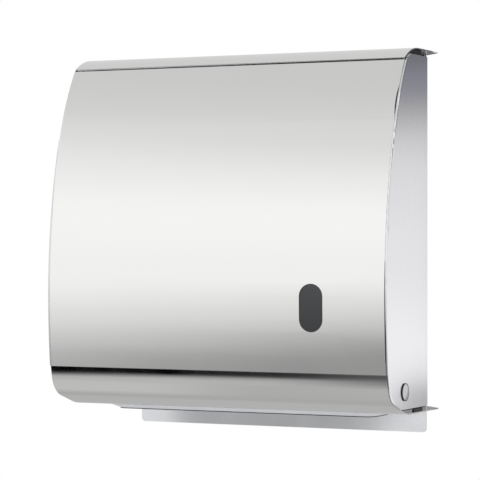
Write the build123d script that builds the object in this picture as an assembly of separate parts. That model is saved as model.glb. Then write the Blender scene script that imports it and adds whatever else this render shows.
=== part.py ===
from build123d import *
import os
from math import asin, cos, degrees, radians, sin, sqrt

# Wall dispenser for interfolded paper towels, in millimetres.
# X runs across the wall, Y into the wall, whose face is Y = 0, and Z up.
# The origin is the centre of the four wall holes, on the wall face.

# Side line of the product: depths from the wall, heights from the wall holes' centre
depth = 119.7
top_height = 137.9
seam_drop = 8.6
shoulder_drop = 44.6
belly_drop = 38.0
floor_drop = 122.9
door_rise = 30.1
low_radius = 554.0
mid_radius = 416.0
shoulder_radius = 178.0
cap_radius = 44.7
trough_radius = 100.0
trough_tilt = 3.5
floor_margin = 12.0
floor_radius = 40.0
toe_rise = 10.5
toe_radius = 20.0

# Sheet metal, clearances and the overrun of every cut
sheet = 0.8
plate = 1.0
cover_gap = 0.3
cap_gap = 0.8
trough_gap = 0.15
seat_gap = 0.1
overrun = 20.0

# Widths
width = 270.0
side_space = 15.8

# Back with its two bin walls
lip_reach = 18.8
lip_radius = 3.0
bin_setback = 21.7
bin_notch = 13.0
hole_spacing_x = 160.0
hole_spacing_z = 180.0
hole_diameter = 5.5

# Cap and trough
seam_gap = 1.6
lip_return = 10.0
weld_flange = 12.0
trough_overlap = 8.8
trough_return = 6.0

# Towel throat and its guard
throat_margin = 17.2
throat_depth = 30.0
throat_setback = 53.2
throat_radius = 6.0
guard_flange = 5.0
guard_thickness = 1.2
guard_neck = 2.0
guard_skirt_margin = 10.0
guard_lip_margin = 2.7
guard_drop = 2.9
guard_spread = 5.0

# Door
door_return = 12.0
door_return_inset = 25.0
notch_length = 26.0
notch_depth = 0.9
notch_drop = 31.3
opening_angle = 65.0

# Cheeks
cheek_rear = 39.8
cheek_top_drop = 5.4
cheek_bottom_rise = 4.3
cheek_corner = 1.2
cheek_bend = 1.6
front_flange = 11.0
front_flange_rise = 78.8
front_flange_top_drop = 2.0
rear_flange = 10.0
rear_flange_bottom_rise = 11.4
rear_flange_top_drop = 16.1

# Hinges
pin_setback = 35.3
pin_rise = 16.6
pin_diameter = 6.0
pin_clearance = 0.05
pin_head_diameter = 11.4
pin_head_height = 1.2
seal_diameter = 12.6
seal_thickness = 0.5
pin_grip = 11.0
bush_diameter = 8.0
bush_flange_diameter = 13.0
bush_flange_thickness = 1.0
boss_diameter = 20.0
washer_thickness = 0.8
washer_diameter = 16.0

# Stops and bumpers
stud_diameter = 5.0
stud_reach = 11.5
sleeve_diameter = 10.0
stop_gap = 0.4
bumper_height = 14.0
bumper_width = 7.0
bumper_grip = 5.0
bumper_rise = 98.0

# Sight window
window_width = 18.0
window_height = 34.0
window_inset = 56.7
window_drop = 9.0
pane_thickness = 2.0
pane_margin = 5.0
retainer_thickness = 1.0
retainer_margin = 9.0

# Lock
lock_share = 0.57
lock_diameter = 18.0
lock_head_diameter = 22.0
lock_head_height = 1.0
lock_length = 20.0
lock_bore_fit = 0.05
plug_diameter = 13.0
plug_step = 0.6
key_slot_length = 8.0
key_slot_width = 1.6
key_slot_depth = 6.0
nut_flats = 22.0
nut_thickness = 4.0
cam_length = 34.0
cam_width = 12.0
cam_thickness = 2.5
screw_diameter = 5.0
screw_head_flats = 8.0
screw_head_height = 3.0
screw_length = 8.0
strike_thickness = 1.5
strike_width = 14.0
strike_inset = 16.0
strike_clearance = 0.6
hook_height = 4.5
rivet_diameter = 3.2
rivet_head_diameter = 6.0
rivet_head_height = 1.0

# Side line worked out from the sizes: centres and turns of its arcs
seam_height = top_height - seam_drop
shoulder_height = seam_height - shoulder_drop
belly = -belly_drop
tilt = asin((shoulder_height - belly) / mid_radius)
mid_centre = (mid_radius - depth, belly)
low_centre = (low_radius - depth, belly)
shoulder_centre = (
    mid_centre[0] - (mid_radius - shoulder_radius) * cos(tilt),
    mid_centre[1] + (mid_radius - shoulder_radius) * sin(tilt),
)
seam_tilt = asin((seam_height - shoulder_centre[1]) / shoulder_radius)
seam_y = shoulder_centre[0] - shoulder_radius * cos(seam_tilt)
cap_fall = cap_radius - seam_drop
cap_centre = (seam_y + sqrt(cap_radius**2 - cap_fall**2), top_height - cap_radius)
cap_turn = 90 - degrees(asin(cap_fall / cap_radius))
step = sheet + cover_gap
floor_line = -(floor_drop + step)
throat_front = depth - throat_setback
floor_flat = throat_front + floor_margin
door_bottom = -floor_drop + door_rise
door_turn = asin((belly - door_bottom) / low_radius)
trough_turn = door_turn + radians(trough_tilt)
trough_centre = (
    low_centre[0] - low_radius * cos(door_turn) + trough_radius * cos(trough_turn),
    door_bottom + trough_radius * sin(trough_turn),
)
toe_z = floor_line + toe_rise
toe_turn = asin((trough_centre[1] - toe_z) / trough_radius)
toe = (trough_centre[0] - trough_radius * cos(toe_turn), toe_z)

# Places worked out from the sizes
half = width / 2
cheek_inner = half - sheet
cap_half = cheek_inner - cap_gap
trough_half = cheek_inner - trough_gap
door_half = half - cheek_bend + cover_gap
back_half = half - side_space
back_width = 2 * back_half
floor_top = -floor_drop + sheet
lip_bottom = -floor_drop - lip_reach
bin_depth = depth - bin_setback
throat_width = back_width - 2 * throat_margin
door_top = seam_height - seam_gap
cap_under = top_height - sheet
pin_y = -depth + pin_setback
pin_z = -floor_drop + pin_rise
boss_end = cheek_inner - bush_flange_thickness - cover_gap - washer_thickness
washer_end = boss_end + washer_thickness
lock_y = cap_centre[0] * lock_share
lock_bottom = cap_under - lock_length
cam_top = lock_bottom - plug_step
cam_bottom = cam_top - cam_thickness
tongue_top = cam_bottom - strike_clearance
window_x = half - window_inset
window_z = belly - window_drop
notch_z = seam_height - notch_drop
notch_radius = (notch_length**2 / 4 + notch_depth**2) / (2 * notch_depth)
head_from = half + cover_gap + seal_thickness
bumper_z = belly + bumper_rise
door_return_half = half - door_return_inset
stop_y = pin_y
stop_z = pin_z + (
    (-cheek_rear - sheet - pin_y - sleeve_diameter / 2 - stop_gap) / sin(radians(opening_angle))
)


def band(y_from, y_to, z_from, z_to):
    """Rectangle of the side view between two depths and two heights."""
    middle = ((y_from + y_to) / 2, (z_from + z_to) / 2)
    return Pos(*middle) * Rectangle(y_to - y_from, z_to - z_from)


def box(x_range, y_range, z_range):
    """Block between two values on each axis."""
    spans = (x_range, y_range, z_range)
    middle = [(low + high) / 2 for low, high in spans]
    return Pos(*middle) * Box(*[high - low for low, high in spans])


def across(sketch, x_from, x_to):
    """Solid of a side-view sketch between two places across the wall."""
    return extrude(Plane.YZ.offset(x_from) * sketch, amount=x_to - x_from, dir=(1, 0, 0))


def rod(radius, x_from, x_to, y, z):
    """Cylinder along X between two places."""
    return Pos((x_from + x_to) / 2, y, z) * Rot(0, 90, 0) * Cylinder(radius, x_to - x_from)


def post(radius, x, y, z_from, z_to):
    """Cylinder along Z between two heights."""
    return Pos(x, y, (z_from + z_to) / 2) * Cylinder(radius, z_to - z_from)


def both(right_piece):
    """The right-hand piece and its mirror image."""
    return Compound(children=[right_piece, mirror(right_piece, about=Plane.YZ)])


def shell_line(inset):
    """Inside of the product's side line, drawn in by an inset, and open past the wall."""
    bend = (-floor_flat, floor_line)
    edges = [
        Line((overrun, top_height), (cap_centre[0], top_height)),
        CenterArc(cap_centre, cap_radius, 90, cap_turn),
        CenterArc(shoulder_centre, shoulder_radius, 180 - degrees(seam_tilt), degrees(seam_tilt - tilt)),
        CenterArc(mid_centre, mid_radius, 180 - degrees(tilt), degrees(tilt)),
        CenterArc(low_centre, low_radius, 180, degrees(door_turn)),
        CenterArc(
            trough_centre, trough_radius, 180 + degrees(trough_turn), degrees(toe_turn - trough_turn)
        ),
        Line(toe, bend),
        Line(bend, (overrun, floor_line)),
        Line((overrun, floor_line), (overrun, top_height)),
    ]
    face = make_face(edges)
    for corner, radius in ((toe, toe_radius), (bend, floor_radius)):
        face = fillet(face.vertices().sort_by_distance(corner)[0], radius)
    if inset > 0:
        face = offset(face, amount=-inset, kind=Kind.INTERSECTION)
    return face


def skin(inset, thickness):
    """Sheet that follows the side line at an inset."""
    return shell_line(inset) - shell_line(inset + thickness)


def rear_corners(reach, z_from, z_to):
    """Blocks that trim a wide sheet's rear corners to the width of the back."""
    run = reach - back_half
    corner = Polyline((back_half, 0), (half + run, 0), (reach, -run), close=True)
    triangle = make_face(corner)
    wedge = extrude(Pos(0, 0, z_from) * triangle, amount=z_to - z_from, dir=(0, 0, 1))
    return [wedge, mirror(wedge, about=Plane.YZ)]


def back_channel():
    """Back with its lower lip, wall holes and the two walls of the towel bin."""
    middle = (cap_under + lip_bottom) / 2
    outline = Pos(0, middle) * Rectangle(back_width, cap_under - lip_bottom)
    outline = fillet(outline.vertices().group_by(Axis.Y)[0], lip_radius)
    outline -= GridLocations(hole_spacing_x, hole_spacing_z, 2, 2) * Circle(hole_diameter / 2)
    back = extrude(Plane.XZ * outline, amount=plate, dir=(0, -1, 0))
    side = shell_line(step + sheet + cover_gap) & band(-bin_depth, 0, -floor_drop, cap_under)
    side -= band(-depth, lip_end() + cover_gap, door_top - bin_notch, top_height)
    right_wall = across(side, back_half - plate, back_half)
    return back + right_wall + mirror(right_wall, about=Plane.YZ)


def weld_strip(z_from, z_to):
    """Flange that lies on the front of the back, between the bin walls."""
    reach = back_half - plate - seat_gap
    return box((-reach, reach), (-plate - sheet, -plate), (z_from, z_to))


def top_cap():
    """Fixed top with its rounded front lip and the hole for the lock."""
    section = skin(0, sheet) & band(-depth, 0, seam_height, top_height)
    section += shell_line(0) & band(-depth, lip_end(), seam_height, seam_height + sheet)
    cap = across(section, -cap_half, cap_half)
    cap -= rear_corners(cap_half, seam_height, top_height)
    cap += weld_strip(cap_under - weld_flange, cap_under)
    return cap - post(lock_diameter / 2 + seat_gap, 0, lock_y, lock_bottom, top_height + overrun)


def front_of_seam():
    """Depth of the product's side line at the seam."""
    line = shell_line(0) & band(-depth, overrun, seam_height - sheet, seam_height)
    return -line.bounding_box().min.X


def lip_end():
    """Depth where the return of the cap's lip ends."""
    return -front_of_seam() + lip_return


def throat(spread, z_from, z_to):
    """Rounded block of the towel throat, grown by a spread all round."""
    place = Pos(0, -throat_front + throat_depth / 2, z_from)
    shape = RectangleRounded(
        throat_width + 2 * spread, throat_depth + 2 * spread, throat_radius + spread
    )
    return extrude(place * shape, amount=z_to - z_from, dir=(0, 0, 1))


def bottom_trough():
    """Fixed floor that turns up behind the lower edge of the door."""
    top = door_bottom + trough_overlap
    section = skin(step, sheet) & band(-depth, -plate, -floor_drop, top)
    inner = shell_line(step) & band(-depth, -depth + step + sheet + trough_return, top - sheet, top)
    trough = across(section + inner, -trough_half, trough_half)
    trough -= rear_corners(trough_half, -floor_drop, top)
    trough += weld_strip(floor_top, floor_top + weld_flange)
    return trough - throat(guard_neck + seat_gap, -floor_drop - overrun, floor_top + sheet)


def throat_guard():
    """Smooth liner of the throat: flange on the floor, neck, and a sloped lip below."""
    guard = throat(guard_flange, floor_top, floor_top + guard_thickness)
    guard += throat(guard_neck, -floor_drop, floor_top)
    place = Pos(0, -throat_front + throat_depth / 2)
    skirt_depth = throat_depth + 2 * (guard_neck + guard_spread)
    lip_depth = throat_depth + 2 * guard_neck
    wide = RectangleRounded(
        throat_width + 2 * guard_skirt_margin, skirt_depth, throat_radius + guard_spread
    )
    narrow = RectangleRounded(throat_width + 2 * guard_lip_margin, lip_depth, throat_radius + guard_neck)
    lip_z = -floor_drop - guard_drop
    guard += loft([place * Pos(0, 0, lip_z) * narrow, place * Pos(0, 0, -floor_drop) * wide])
    return guard - throat(0, lip_z - overrun, floor_top + overrun)


def front_door():
    """Curved front sheet with its top return, sight slot and pull notch."""
    section = skin(0, sheet) & band(-depth, 0, door_bottom, door_top)
    door = across(section, -door_half, door_half)
    rear = -front_of_seam() + door_return
    fold = shell_line(0) & band(-depth, rear, door_top - sheet, door_top)
    door += across(fold, -door_return_half, door_return_half)
    slot = SlotOverall(window_height, window_width, rotation=90)
    door -= extrude(
        Plane.XZ * Pos(window_x, window_z) * slot, amount=depth + overrun, dir=(0, -1, 0)
    )
    return door - pull_notch()


def pull_notch():
    """Shallow round cut in the right edge of the door, where a finger pulls it open."""
    place = Pos(door_half - notch_depth + notch_radius, -depth / 2, notch_z)
    return place * Rot(90, 0, 0) * Cylinder(notch_radius, depth + 2 * overrun)


def cheek_side(inset, grow):
    """Outline of a cheek, seen from the side."""
    low = -floor_drop + cheek_bottom_rise + grow
    high = top_height - cheek_top_drop - grow
    face = shell_line(step + inset) & band(-depth, -cheek_rear - grow, low, high)
    corners = face.vertices().group_by(Axis.X)[-1]
    return fillet(corners, cheek_corner - grow)


def cheek_sheet():
    """Right side of the cover: a flat cheek with a bent flange in front and one at the rear."""
    inner = half - front_flange
    block = across(cheek_side(0, 0), inner, half)
    front_edges = block.edges().filter_by(lambda e: e.center().X > half - seat_gap)
    front_edges = front_edges.filter_by(lambda e: e.geom_type == GeomType.CIRCLE)
    front_edges = front_edges.filter_by(lambda e: e.radius > cap_radius)
    block = fillet(front_edges, cheek_bend)
    core = across(cheek_side(sheet, sheet), inner - overrun, cheek_inner)
    core_edges = core.edges().filter_by(lambda e: e.center().X > cheek_inner - seat_gap)
    core_edges = core_edges.filter_by(lambda e: e.geom_type == GeomType.CIRCLE)
    core_edges = core_edges.filter_by(lambda e: e.radius > cap_radius)
    core = fillet(core_edges, cheek_bend - sheet)
    shell = block - core
    high = top_height + overrun
    low = lip_bottom
    spare = (inner - overrun, cheek_inner)
    middle = -cheek_rear - 2 * cheek_corner
    shell -= box(spare, (-depth, middle), (seam_height - front_flange_top_drop, high))
    shell -= box(spare, (-depth, middle), (low, door_bottom + front_flange_rise))
    shell -= box(spare, (middle, 0), (top_height - rear_flange_top_drop, high))
    shell -= box(spare, (middle, 0), (low, -floor_drop + rear_flange_bottom_rise))
    shell -= box((inner - overrun, half - rear_flange), (middle, 0), (low, high))
    return shell - rod(bush_diameter / 2 + seat_gap / 2, cheek_inner - sheet, half + sheet, pin_y, pin_z)


def pull_slit():
    """Part of the pull notch that goes on through the flange of the right cheek."""
    across_flange = (0, half - cheek_bend + seat_gap)
    return pull_notch() & box(across_flange, (-depth, -cheek_rear - cheek_bend), (belly, seam_height))


def hinge_boss():
    """Spacer on the bin wall that carries the right hinge pin."""
    boss = rod(boss_diameter / 2, back_half, boss_end, pin_y, pin_z)
    return boss - rod(pin_diameter / 2 + pin_clearance, back_half - overrun, boss_end + overrun, pin_y, pin_z)


def hinge_washer():
    """Washer between the boss and the bush."""
    washer = rod(washer_diameter / 2, boss_end, washer_end, pin_y, pin_z)
    return washer - rod(pin_diameter / 2 + pin_clearance, boss_end - sheet, washer_end + sheet, pin_y, pin_z)


def hinge_bush():
    """Flanged bush in the cheek, turning on the pin."""
    flange_from = cheek_inner - bush_flange_thickness
    bush = rod(bush_flange_diameter / 2, flange_from, cheek_inner, pin_y, pin_z)
    bush += rod(bush_diameter / 2, cheek_inner, half, pin_y, pin_z)
    return bush - rod(pin_diameter / 2 + pin_clearance, flange_from - sheet, half + sheet, pin_y, pin_z)


def right_hinge_pin():
    """Shoulder pin with a domed head."""
    head_to = head_from + pin_head_height
    dome = (pin_head_diameter**2 / 4 + pin_head_height**2) / (2 * pin_head_height)
    ball = Pos(head_to - dome, pin_y, pin_z) * Rot(0, 90, 0) * Sphere(dome)
    head = ball & rod(pin_head_diameter, head_from, head_to + overrun, pin_y, pin_z)
    return head + rod(pin_diameter / 2, boss_end - pin_grip, head_from, pin_y, pin_z)


def hinge_seal():
    """Rubber ring under the head of the right hinge pin."""
    seal = rod(seal_diameter / 2, head_from - seal_thickness, head_from, pin_y, pin_z)
    return seal - rod(pin_diameter / 2, half - sheet, head_from + sheet, pin_y, pin_z)


def stop_stud():
    """Stud on the bin wall that limits the tilt of the cover."""
    return rod(stud_diameter / 2, back_half, back_half + stud_reach, stop_y, stop_z)


def stop_sleeve():
    """Rubber sleeve round the stop stud."""
    sleeve = rod(sleeve_diameter / 2, back_half, back_half + stud_reach, stop_y, stop_z)
    return sleeve - rod(
        stud_diameter / 2, back_half - overrun, back_half + stud_reach + overrun, stop_y, stop_z
    )


def door_bumper():
    """Rubber block pushed over the front edge of the right bin wall."""
    middle = back_half - plate / 2
    reach = shell_line(sheet + cover_gap)
    side = reach & band(-depth, -bin_depth + bumper_grip, bumper_z, bumper_z + bumper_height)
    block = across(side, middle - bumper_width / 2, middle + bumper_width / 2)
    slot = band(-bin_depth, 0, bumper_z - sheet, bumper_z + bumper_height + sheet)
    return block - across(slot, back_half - plate, back_half)


def window_piece(inset, thickness, margin):
    """Curved plate behind the sight slot, larger than the slot by a margin."""
    half_height = window_height / 2 + margin
    side = skin(inset, thickness) & band(-depth, 0, window_z - half_height, window_z + half_height)
    reach = window_width / 2 + margin
    return across(side, window_x - reach, window_x + reach)


def sight_window():
    """Smoked pane behind the slot."""
    return window_piece(sheet, pane_thickness, pane_margin)


def window_retainer():
    """Frame round the pane, with a lip over its edge."""
    frame = window_piece(sheet, pane_thickness + retainer_thickness, retainer_margin)
    frame -= window_piece(sheet, pane_thickness, pane_margin)
    half_height = window_height / 2
    reach = window_width / 2
    return frame - box(
        (window_x - reach, window_x + reach),
        (-depth - overrun, 0),
        (window_z - half_height, window_z + half_height),
    )


def lock_barrel():
    """Lock body through the cap, with a thin head."""
    barrel = post(lock_diameter / 2, 0, lock_y, lock_bottom, top_height)
    barrel += post(lock_head_diameter / 2, 0, lock_y, top_height, top_height + lock_head_height)
    bore = plug_diameter / 2 + lock_bore_fit
    return barrel - post(bore, 0, lock_y, lock_bottom - overrun, top_height + overrun)


def lock_nut():
    """Hexagon nut that clamps the barrel under the cap."""
    place = Pos(0, lock_y, cap_under - nut_thickness)
    nut = extrude(place * RegularPolygon(nut_flats / 2, 6, major_radius=False), amount=nut_thickness)
    return nut - post(lock_diameter / 2, 0, lock_y, lock_bottom, top_height)


def lock_plug():
    """Turning plug with its key slot and the seat of the cam."""
    plug = post(plug_diameter / 2, 0, lock_y, cam_top, top_height + lock_head_height)
    slot_from = top_height + lock_head_height - key_slot_depth
    across_slot = (-key_slot_width / 2, key_slot_width / 2)
    along_slot = (lock_y - key_slot_length / 2, lock_y + key_slot_length / 2)
    plug -= box(across_slot, along_slot, (slot_from, top_height + overrun))
    return plug - post(screw_diameter / 2, 0, lock_y, cam_top - overrun, cam_top + screw_length - cam_thickness)


def lock_cam():
    """Cam on the plug, pointing to the front while unlocked."""
    middle = lock_y - (cam_length - cam_width / 2) / 2
    blank = SlotCenterToCenter(cam_length - cam_width / 2, cam_width, rotation=90)
    cam = extrude(Pos(0, middle, cam_bottom) * blank, amount=cam_thickness)
    return cam - post(screw_diameter / 2, 0, lock_y, cam_bottom - sheet, cam_top + sheet)


def cam_screw():
    """Screw that holds the cam to the plug."""
    place = Pos(0, lock_y, cam_bottom - screw_head_height)
    hexagon = RegularPolygon(screw_head_flats / 2, 6, major_radius=False)
    screw = extrude(place * hexagon, amount=screw_head_height)
    return screw + post(screw_diameter / 2, 0, lock_y, cam_bottom, cam_bottom + screw_length)


def strike_foot():
    """Depths of the strike's foot, from its front to its web."""
    rear = -front_of_seam() + door_return
    return rear - door_return + sheet + cover_gap, rear


def lock_strike():
    """Bracket under the door's return, with a hook that the cam blocks."""
    foot_front, foot_rear = strike_foot()
    foot_top = door_top - sheet
    hook_front = lock_y + cam_width / 2 + strike_clearance
    section = band(foot_front + rivet_head_diameter / 2, foot_rear, foot_top - strike_thickness, foot_top)
    section += band(foot_rear - strike_thickness, foot_rear, tongue_top - strike_thickness, foot_top)
    section += band(
        foot_rear - strike_thickness, hook_front + strike_thickness, tongue_top - strike_thickness, tongue_top
    )
    section += band(
        hook_front, hook_front + strike_thickness, tongue_top - strike_thickness, tongue_top + hook_height
    )
    strike = across(section, strike_inset, strike_inset + strike_width)
    return strike - strike_rivet_holes()


def rivet_places():
    """Places of the two strike rivets."""
    foot_front, foot_rear = strike_foot()
    y = foot_rear - strike_thickness - rivet_head_diameter / 2
    shift = strike_width / 2 - rivet_head_diameter / 2
    middle = strike_inset + strike_width / 2
    return [(middle - shift, y), (middle + shift, y)]


def strike_rivet_holes():
    """Holes for the strike rivets."""
    low = door_top - sheet - strike_thickness - sheet
    return [post(rivet_diameter / 2, x, y, low, door_top + sheet) for x, y in rivet_places()]


def strike_rivets():
    """Flat rivets through the door's return and the strike."""
    foot_under = door_top - sheet - strike_thickness
    rivets = []
    for x, y in rivet_places():
        shank = post(rivet_diameter / 2, x, y, foot_under, door_top)
        rivets.append(shank + post(rivet_head_diameter / 2, x, y, foot_under - rivet_head_height, foot_under))
    return Compound(children=rivets)


def main():
    """Write one file for each piece."""
    cheek = cheek_sheet()
    pin = right_hinge_pin()
    pieces = {
        "back_channel": back_channel(),
        "top_cap": top_cap(),
        "bottom_trough": bottom_trough(),
        "throat_guard": throat_guard(),
        "hinge_bosses": both(hinge_boss()),
        "hinge_washers": both(hinge_washer()),
        "right_hinge_pin": pin,
        "left_hinge_pin": mirror(pin, about=Plane.YZ),
        "hinge_seals": both(hinge_seal()),
        "stop_studs": both(stop_stud()),
        "stop_sleeves": both(stop_sleeve()),
        "door_bumpers": both(door_bumper()),
        "lock_barrel": lock_barrel(),
        "lock_nut": lock_nut(),
        "front_door": front_door() - strike_rivet_holes(),
        "right_cheek": cheek - pull_slit(),
        "left_cheek": mirror(cheek, about=Plane.YZ),
        "hinge_bushes": both(hinge_bush()),
        "sight_window": sight_window(),
        "window_retainer": window_retainer(),
        "lock_strike": lock_strike(),
        "strike_rivets": strike_rivets(),
        "lock_plug": lock_plug(),
        "lock_cam": lock_cam(),
        "cam_screw": cam_screw(),
    }
    os.makedirs("parts", exist_ok=True)
    for name, piece in pieces.items():
        export_step(piece, os.path.join("parts", name + ".step"))


if __name__ == "__main__":
    main()
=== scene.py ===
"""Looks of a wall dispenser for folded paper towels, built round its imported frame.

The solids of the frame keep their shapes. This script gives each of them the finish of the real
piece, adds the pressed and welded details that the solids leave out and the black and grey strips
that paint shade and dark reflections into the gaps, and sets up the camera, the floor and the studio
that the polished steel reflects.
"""

from __future__ import annotations

import logging
import math
from dataclasses import dataclass, field
from enum import Enum
from typing import Any, Callable

import bmesh
import bpy
from bmesh.types import BMesh
from bpy.types import Material, Node, NodeSocket, NodeTree, Object
from mathutils import Matrix, Vector


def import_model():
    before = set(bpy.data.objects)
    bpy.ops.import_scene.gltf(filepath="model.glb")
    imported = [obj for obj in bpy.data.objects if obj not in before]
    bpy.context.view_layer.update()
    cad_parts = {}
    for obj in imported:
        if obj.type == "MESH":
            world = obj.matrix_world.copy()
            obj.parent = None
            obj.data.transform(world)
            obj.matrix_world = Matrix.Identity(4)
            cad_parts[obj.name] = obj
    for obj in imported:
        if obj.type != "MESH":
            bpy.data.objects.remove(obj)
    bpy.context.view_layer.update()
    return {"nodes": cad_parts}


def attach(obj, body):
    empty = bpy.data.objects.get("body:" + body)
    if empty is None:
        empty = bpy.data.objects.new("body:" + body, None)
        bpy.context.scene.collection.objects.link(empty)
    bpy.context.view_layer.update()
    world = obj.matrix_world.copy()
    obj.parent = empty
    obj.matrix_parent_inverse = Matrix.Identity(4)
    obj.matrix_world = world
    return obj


# two ends or a place on a plane, a place in space, and stops with their places and levels
Pair = tuple[float, float]
Triple = tuple[float, float, float]
Stops = tuple[Pair, ...]
# height of a pattern, and the inputs of the shader that it sets or feeds
Pattern = tuple[NodeSocket, dict[str, Any]]

LOG = logging.getLogger("towel_dispenser")
MM = 0.001
WHITE = (1.0, 1.0, 1.0, 1.0)
# sRGB curve: end and slope of its straight foot, and the offset and power above it
SRGB_FOOT, SRGB_SLOPE, SRGB_OFFSET, SRGB_POWER = 0.04045, 12.92, 0.055, 2.4
# how near points are joined, and the angle past which an edge stays sharp
SAME_POINT = 1e-6
SHARP_ANGLE = math.radians(30.0)
# steps in the rounded edge of a bar
ROUND_STEPS = 2
# radians that the wave texture makes for each unit of length and scale
WAVE_RADIANS = 20.0


class Body(Enum):
    """The bodies that the joints move against each other."""

    CABINET = "cabinet"
    DOOR = "door"
    LOCK = "lock"


class Slot(Enum):
    """Material slots of the record."""

    POLISHED_STEEL = "polished_steel"
    SATIN_STEEL = "satin_steel"
    MILL_STEEL = "mill_steel"
    ZINC = "zinc"
    LOCK_NICKEL = "lock_nickel"
    GUARD_PLASTIC = "guard_plastic"
    NYLON = "nylon"
    BLACK_RUBBER = "black_rubber"
    SMOKED_PANE = "smoked_pane"
    BLACK_PLASTIC = "black_plastic"


class Bend(Enum):
    """How a ramp runs between its stops."""

    STRAIGHT = "LINEAR"
    SMOOTH = "CARDINAL"


def linear(tone: str) -> tuple[float, float, float, float]:
    """Turn an sRGB hex colour into linear red, green, blue and alpha.

    Args:
        tone: Six hex digits, with or without a leading hash.

    Returns:
        The linear colour, with an alpha of one.
    """
    digits = tone.lstrip("#")
    shares = [int(digits[place:place + 2], 16) / 255 for place in (0, 2, 4)]
    red, green, blue = (
        share / SRGB_SLOPE if share <= SRGB_FOOT
        else ((share + SRGB_OFFSET) / (1 + SRGB_OFFSET)) ** SRGB_POWER for share in shares)
    return red, green, blue, 1.0


def fill_sockets(tree: NodeTree, node: Node, sockets: dict[Any, Any]) -> None:
    """Set or feed the inputs of a node.

    Args:
        tree: Node tree that holds the node.
        node: Node that has the inputs.
        sockets: Input name or number, with a value or the output socket that feeds it.
    """
    for key, value in sockets.items():
        if isinstance(value, NodeSocket):
            tree.links.new(value, node.inputs[key])
        else:
            node.inputs[key].default_value = value


def add_node(tree: NodeTree, kind: str, sockets: dict[Any, Any] | None = None, **settings: Any) -> Node:
    """Add a node with its settings, its socket values and its links.

    Args:
        tree: Node tree that gets the node.
        kind: Type name of the node.
        sockets: Input name or number, with a value or the output socket that feeds it.
        **settings: Attributes of the node itself.

    Returns:
        The new node.
    """
    node = tree.nodes.new(kind)
    for name, value in settings.items():
        setattr(node, name, value)
    fill_sockets(tree, node, sockets or {})
    return node


def new_piece(name: str, shape: BMesh) -> Object:
    """Turn a bmesh into an object at the origin and free the bmesh.

    Args:
        name: Name of the piece.
        shape: Finished mesh, in metres in the frame of the part.

    Returns:
        The linked object.
    """
    mesh = bpy.data.meshes.new(name)
    shape.to_mesh(mesh)
    shape.free()
    piece = bpy.data.objects.new(name, mesh)
    bpy.context.scene.collection.objects.link(piece)
    return piece


def add_bar(shape: BMesh, low: Triple, high: Triple, rounding: float) -> None:
    """Add a straight bar with rounded edges to a mesh.

    Args:
        shape: Mesh that gets the bar.
        low: Its lowest corner, in millimetres.
        high: Its highest corner, in millimetres.
        rounding: Radius of its edges, in millimetres.
    """
    points = bmesh.ops.create_cube(shape, size=1.0)["verts"]
    bmesh.ops.scale(shape, vec=(Vector(high) - Vector(low)) * MM, verts=points)
    bmesh.ops.translate(shape, vec=(Vector(high) + Vector(low)) / 2 * MM, verts=points)
    # each edge once, in the same order at every run
    edges = list(dict.fromkeys(edge for point in points for edge in point.link_edges))
    bmesh.ops.bevel(shape, geom=edges, offset=rounding * MM, segments=ROUND_STEPS, profile=0.5,
                    affect="EDGES", material=-1)


def join_seams(piece: Object) -> None:
    """Let a mirror run on across the seams between the faces of a solid, up to its sharp edges.

    Args:
        piece: Polished solid of the frame.
    """
    weld = piece.modifiers.new("weld", "WELD")
    weld.merge_threshold = SAME_POINT
    split = piece.modifiers.new("split", "EDGE_SPLIT")
    split.split_angle = SHARP_ANGLE
    split.use_edge_sharp = False
    even = piece.modifiers.new("even", "WEIGHTED_NORMAL")
    even.mode = "FACE_AREA"


@dataclass(frozen=True)
class Finish:
    """A finish with a pattern in low relief, and no metal in it unless it says so."""

    slot: Slot
    name: str
    tone: str
    roughness: float
    metallic: float = 0.0
    # height of the relief, and how much of it shows
    relief_mm: float = 0.01
    relief_share: float = 0.5

    def build(self) -> Material:
        """Make the material.

        Returns:
            The material, named for what the real one is.
        """
        material = bpy.data.materials.new(self.name)
        material.use_nodes = True
        tree = material.node_tree
        place = add_node(tree, "ShaderNodeTexCoord").outputs["Object"]
        height, pattern = self.texture(tree, place)
        bump = add_node(tree, "ShaderNodeBump",
                        {"Height": height, "Distance": self.relief_mm * MM, "Strength": self.relief_share})
        shader = tree.nodes["Principled BSDF"]
        fill_sockets(tree, shader, {"Base Color": linear(self.tone), "Roughness": self.roughness,
                                    "Metallic": self.metallic, "Normal": bump.outputs["Normal"]})
        fill_sockets(tree, shader, pattern)
        return material

    def texture(self, tree: NodeTree, place: NodeSocket) -> Pattern:
        """Draw the pattern that the real surface shows.

        Args:
            tree: Node tree of the material.
            place: Object coordinates.

        Returns:
            The height of its relief, and the inputs of the shader that it sets or feeds.
        """
        raise NotImplementedError


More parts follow.
